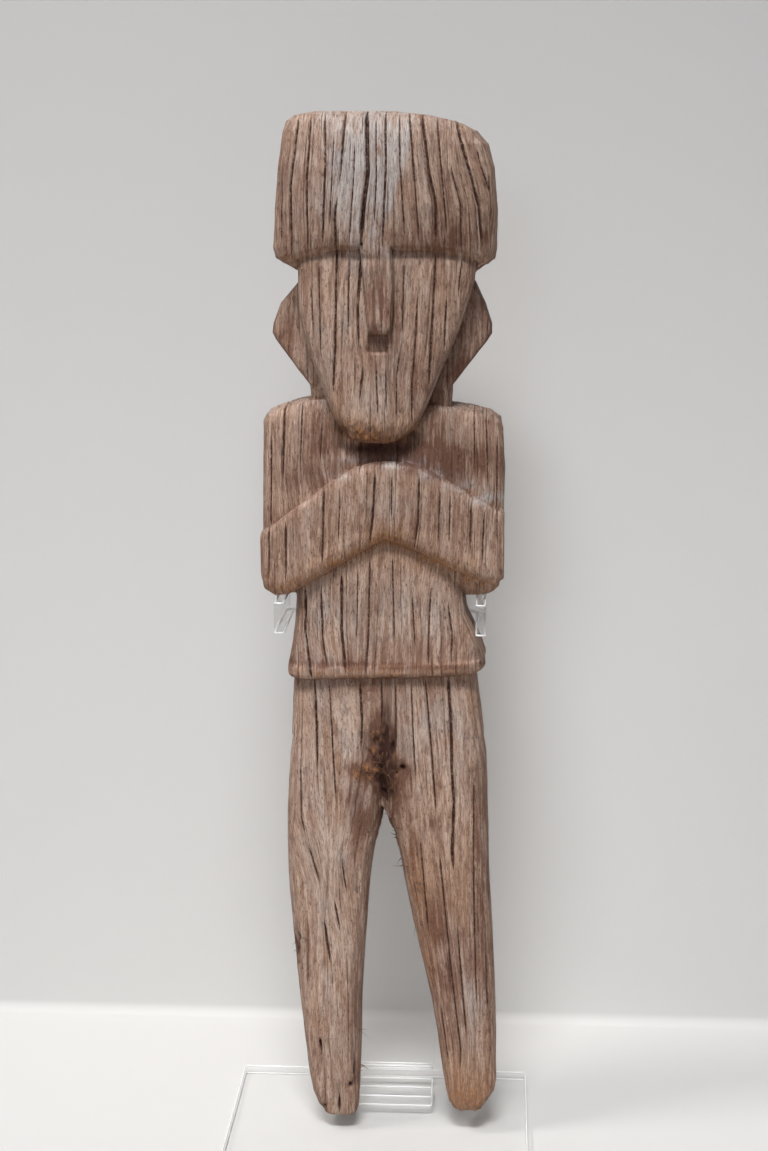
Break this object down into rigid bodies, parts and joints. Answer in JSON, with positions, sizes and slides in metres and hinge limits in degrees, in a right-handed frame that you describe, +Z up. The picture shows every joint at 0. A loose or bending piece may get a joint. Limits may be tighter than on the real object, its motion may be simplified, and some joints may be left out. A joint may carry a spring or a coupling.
{
  "type": "carved wooden figure on a clear display mount",
  "caption": "Standing carved wooden figure with a flat headdress and folded arms, held up at the waist by a clear acrylic display mount.",
  "frame": {"origin": "centre of the base plate's underside, on the surface that the mount stands on", "axes": "+Z up along the figure, the figure faces -Y, +X towards the figure's left hand, which is on the right as seen from the front"},
  "size_m": [0.152, 0.102, 0.508],
  "materials": {
    "weathered_wood": "dry, weathered and cracked along the grain",
    "clear_acrylic": "clear, polished"
  },
  "bodies": {
    "root": {"figure": "weathered_wood", "base_plate": "clear_acrylic", "upright": "clear_acrylic", "cradle": "clear_acrylic"}
  },
  "joints": []
}
